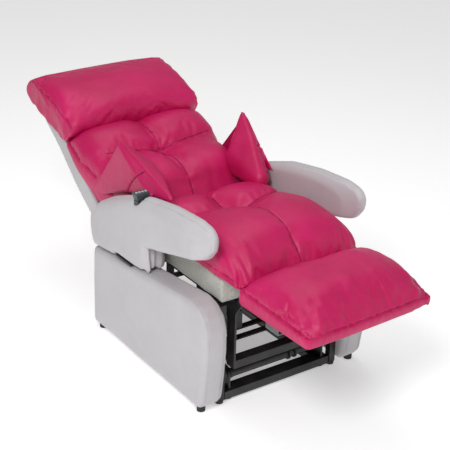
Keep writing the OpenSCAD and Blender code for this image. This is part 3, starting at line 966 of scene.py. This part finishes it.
def make_headrest():
    """A bolster over the shell's top, with cheeks over the shell's sides."""
    lip = smooth_path([(446, -108), (428, -70), (419, -25), (422, 4), (440, 20), (478, 26), (530, 22),
                       (610, -4), (680, -44), (728, -84), (754, -130), (760, -170), (750, -196), (720, -204),
                       (690, -198), (670, -184), (660, -150), (655, -118)], 8)
    cheek = [(450, -60), (640, -50), (740, -130), (750, -196), (690, -186), (606, -166), (455, -112)]
    inner = 271
    parts = [prism(lip, -HEADREST_HALF_W, HEADREST_HALF_W, 40)]
    parts += [prism(cheek, -HEADREST_HALF_W, -inner, 2), prism(cheek, inner, HEADREST_HALF_W, 2)]
    points, faces = [], []
    for more, quads in parts:
        faces += [[len(points) + i for i in quad] for quad in quads]
        points += list(more)
    points = np.array(points)
    x, s, n = points.T
    share = np.abs(x) / HEADREST_HALF_W
    front = np.clip((n + 110) / 60, 0, 1)
    drawn_in = np.clip((np.abs(x) - 225) / 62, 0, 1) ** 2
    points[:, 2] += front * (4 * (1 - share**2) - 3 - drawn_in * (14 + 20 * bell(s - 590, 110)))
    points[:, 1] -= np.where(x > 0, 13 * share**3, 7 * share**6) * np.clip((s - 560) / 150, 0, 1)
    head = new_object("headrest_soft", back_space(points), faces, PINK)
    reskin(head, 0.006, 4)
    n = back_local(head)[:, 2]
    return head, np.where(n < -95, 1.0, 0.0)


def finish_headrest(head):
    subdivide(head)
    rim = [(276, 744, -124), (284, 718, -100), (285, 670, -78), (286, 600, -46), (286, 530, -18),
           (285, 478, -4), (280, 440, -6)]
    borders = lay([points_path([(side * x, s, n) for x, s, n in rim], back_space) for side in (-1, 1)], head)
    sew(head, borders, seed=12, depth=0.004, pull=0.001)
    points = back_local(head)
    x, s, n = points.T
    gusset = np.clip((np.abs(x) - 235) / 40, 0, 1)
    fold(head, gusset, (6, 30, 6), 0.005, 31)
    lip = bell(s - 430, 30) * np.clip((n + 60) / 30, 0, 1)
    fold(head, lip, (26, 8, 8), 0.006, 33)
    fold(head, np.ones(len(points)), (5, 5, 5), 0.006, 35)
    piping = seam_cord("headrest_piping", head, borders, PINK)
    for piece in (head, piping):
        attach(piece, "backrest")
    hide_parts("headrest")


# ------------------------------------------------------------------ wing pillows

WINGS = {
    "right": dict(side=-1, top=(-255, 288, 742), tip=(-235, -10, 632), heel=(-266, 484, 487), sag=0),
    "left": dict(side=1, top=(255, 266, 757), tip=(238, 78, 598), heel=(266, 484, 487), sag=30),
}


def make_wing(which):
    """Sags a wing pillow's lower corner onto the seat, and sews its dart and its piped edges."""
    piece = soft_copy(which + "_wing_soft", which + "_wing_pillow", 0.0038, 5, PINK)
    subdivide(piece)
    facts = WINGS[which]
    points = coords(piece)
    loose = np.clip((0.262 - np.abs(points[:, 0])) / 0.015, 0, 1)
    points[:, 2] -= facts["sag"] * MM * loose * np.clip((0.68 - points[:, 2]) / 0.08, 0, 1)
    set_coords(piece, points)
    top, tip, heel = (seat_space(np.array(facts[key], float)) for key in ("top", "tip", "heel"))
    corners = ((top, tip), (top, heel), (heel, tip))
    edges = lay([smooth_path([a, a * 0.5 + b * 0.5, b]) for a, b in corners], piece)
    side = facts["side"]
    dart = lay([points_path([(side * 262, 134, 690), (side * 266, 176, 650), (side * 268, 208, 612),
                             (side * 268, 221, 584)])], piece)
    sew(piece, dart, seed=3, depth=0.004, pull=0.001)
    inside = np.clip((262 - np.abs(coords(piece)[:, 0]) / MM) / 12, 0, 1)
    fold(piece, inside, (14, 14, 14), 0.004, 41 + side)
    cords = seam_cord(which + "_wing_seams", piece, edges, PINK, radius=0.0022, proud=0.0012)
    # Dark cord in the wing's dart groove: painted groove shade
    line = seam_cord(which + "_wing_dart", piece, dart, SEAM_SHADE_PINK)
    for part in (piece, cords, line):
        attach(part, which + "_wing")
    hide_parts(which + "_wing_pillow")


# ------------------------------------------------------------------ vinyl body

ARM_TOP_LINE = [(336, 512), (250, 560), (155, 600), (25, 645), (-145, 678), (-300, 690), (-365, 680),
                (-390, 650), (-386, 612)]
PANEL_LINE = [(346, 300), (338, 334), (140, 352), (-145, 392), (-295, 410), (-345, 400), (-385, 370),
              (-404, 325), (-407, 240), (-397, 140), (-383, 50)]


def side_paths(places, outline, piece):
    """Paths at several x through an outline's (y, z) points, laid on a piece."""
    return lay([points_path([(x, y, z) for y, z in outline]) for x in places], piece)


def make_arms():
    for which, side in (("right", -1), ("left", 1)):
        arm = soft_copy(which + "_arm_vinyl", which + "_arm", 0.0045, 50, VINYL)
        fold(arm, np.ones(len(arm.data.vertices)), (5, 5, 5), 0.0035, 51 + side)
        _, y, z = profile_points(arm).T
        post = np.clip((10 - y) / 20, 0, 1) * np.clip((500 - z) / 30, 0, 1) * np.clip((y + 60) / 20, 0, 1)
        fold(arm, post, (70, 30, 7), 0.020, 55)
        lines = side_paths((side * 288, side * 326), ARM_TOP_LINE, arm)
        sew(arm, lines, seed=5, depth=0.0022, width=0.0035, pull=0.0002)
        cords = seam_cord(which + "_arm_seams", arm, lines, THREAD_GREY, radius=0.0009, proud=0.0001)
        for piece in (arm, cords):
            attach(piece, which + "_arm_unit")
        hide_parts(which + "_arm")


def make_panels():
    for which, side in (("right", -1), ("left", 1)):
        panel = soft_copy(which + "_panel_vinyl", which + "_side_panel", 0.0045, 18, VINYL)
        fold(panel, np.ones(len(panel.data.vertices)), (5, 5, 5), 0.0025, 61 + side)
        lines = side_paths((side * 332, side * 272), PANEL_LINE, panel)
        sew(panel, lines, seed=6, depth=0.0022, width=0.0035, pull=0.0002)
        cords = seam_cord(which + "_panel_seams", panel, lines, THREAD_GREY, radius=0.0009, proud=0.0001)
        beside = side_paths((side * 327, side * 277), PANEL_LINE, panel)
        thread = stitches(which + "_panel_stitches", panel, beside, THREAD_GREY)
        for piece in (panel, cords, thread):
            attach(piece, "chassis")
        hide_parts(which + "_side_panel")


def make_shell():
    """The vinyl-covered back, with sewn lines near its edges and across it."""
    shell = soft_copy("back_shell_vinyl", "back_shell", 0.004, 8, VINYL)
    fold(shell, np.ones(len(shell.data.vertices)), (6, 6, 6), 0.004, 75)
    behind = -190
    border = [(-222, -36), (-222, 92), (-252, 100), (-252, 640), (252, 640), (252, 100), (222, 92),
              (222, -36)]
    across = [(-262, 96), (262, 96)]
    lines = []
    for outline in (border, across):
        corners = back_space(np.array([(x, s, behind) for x, s in outline], float))
        lines.append(np.vstack([np.linspace(a, b, 60) for a, b in zip(corners, corners[1:])]))
    lines = lay(lines, shell)
    sew(shell, lines, seed=9, depth=0.0025, width=0.0035, pull=0.0003)
    cords = seam_cord("back_shell_seams", shell, lines, THREAD_GREY, radius=0.0009, proud=0.0001)
    for piece in (shell, cords):
        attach(piece, "backrest")
    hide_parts("back_shell")


def make_box():
    box = soft_copy("seat_box_cloth", "seat_box", 0.006, 2, SLOT_LOOKS["box_fabric"])
    subdivide(box)
    fold(box, np.ones(len(box.data.vertices)), (16, 16, 10), 0.004, 71)
    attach(box, "chassis")
    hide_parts("seat_box")


# ------------------------------------------------------------------ build

add_camera()
add_studio()
paint_frame()

seat, seat_pin = make_seat()
leg, leg_pin = make_leg_pad()
back, back_pin = make_back()
head, head_pin = make_headrest()
add_cloth(seat, seat_pin, 3.0, 0.03)
add_cloth(leg, leg_pin, 3.0, 0.03)
add_cloth(back, back_pin, 3.0, 0.03)
add_cloth(head, head_pin, 2.0, 0.01)
run_cloth([seat, leg, back, head], [0.014, 0.014, 0.014, 0.010])
finish_seat(seat)
finish_leg_pad(leg)
make_flap()
finish_back(back)
finish_headrest(head)
for which in WINGS:
    make_wing(which)
make_arms()
make_panels()
make_shell()
make_box()
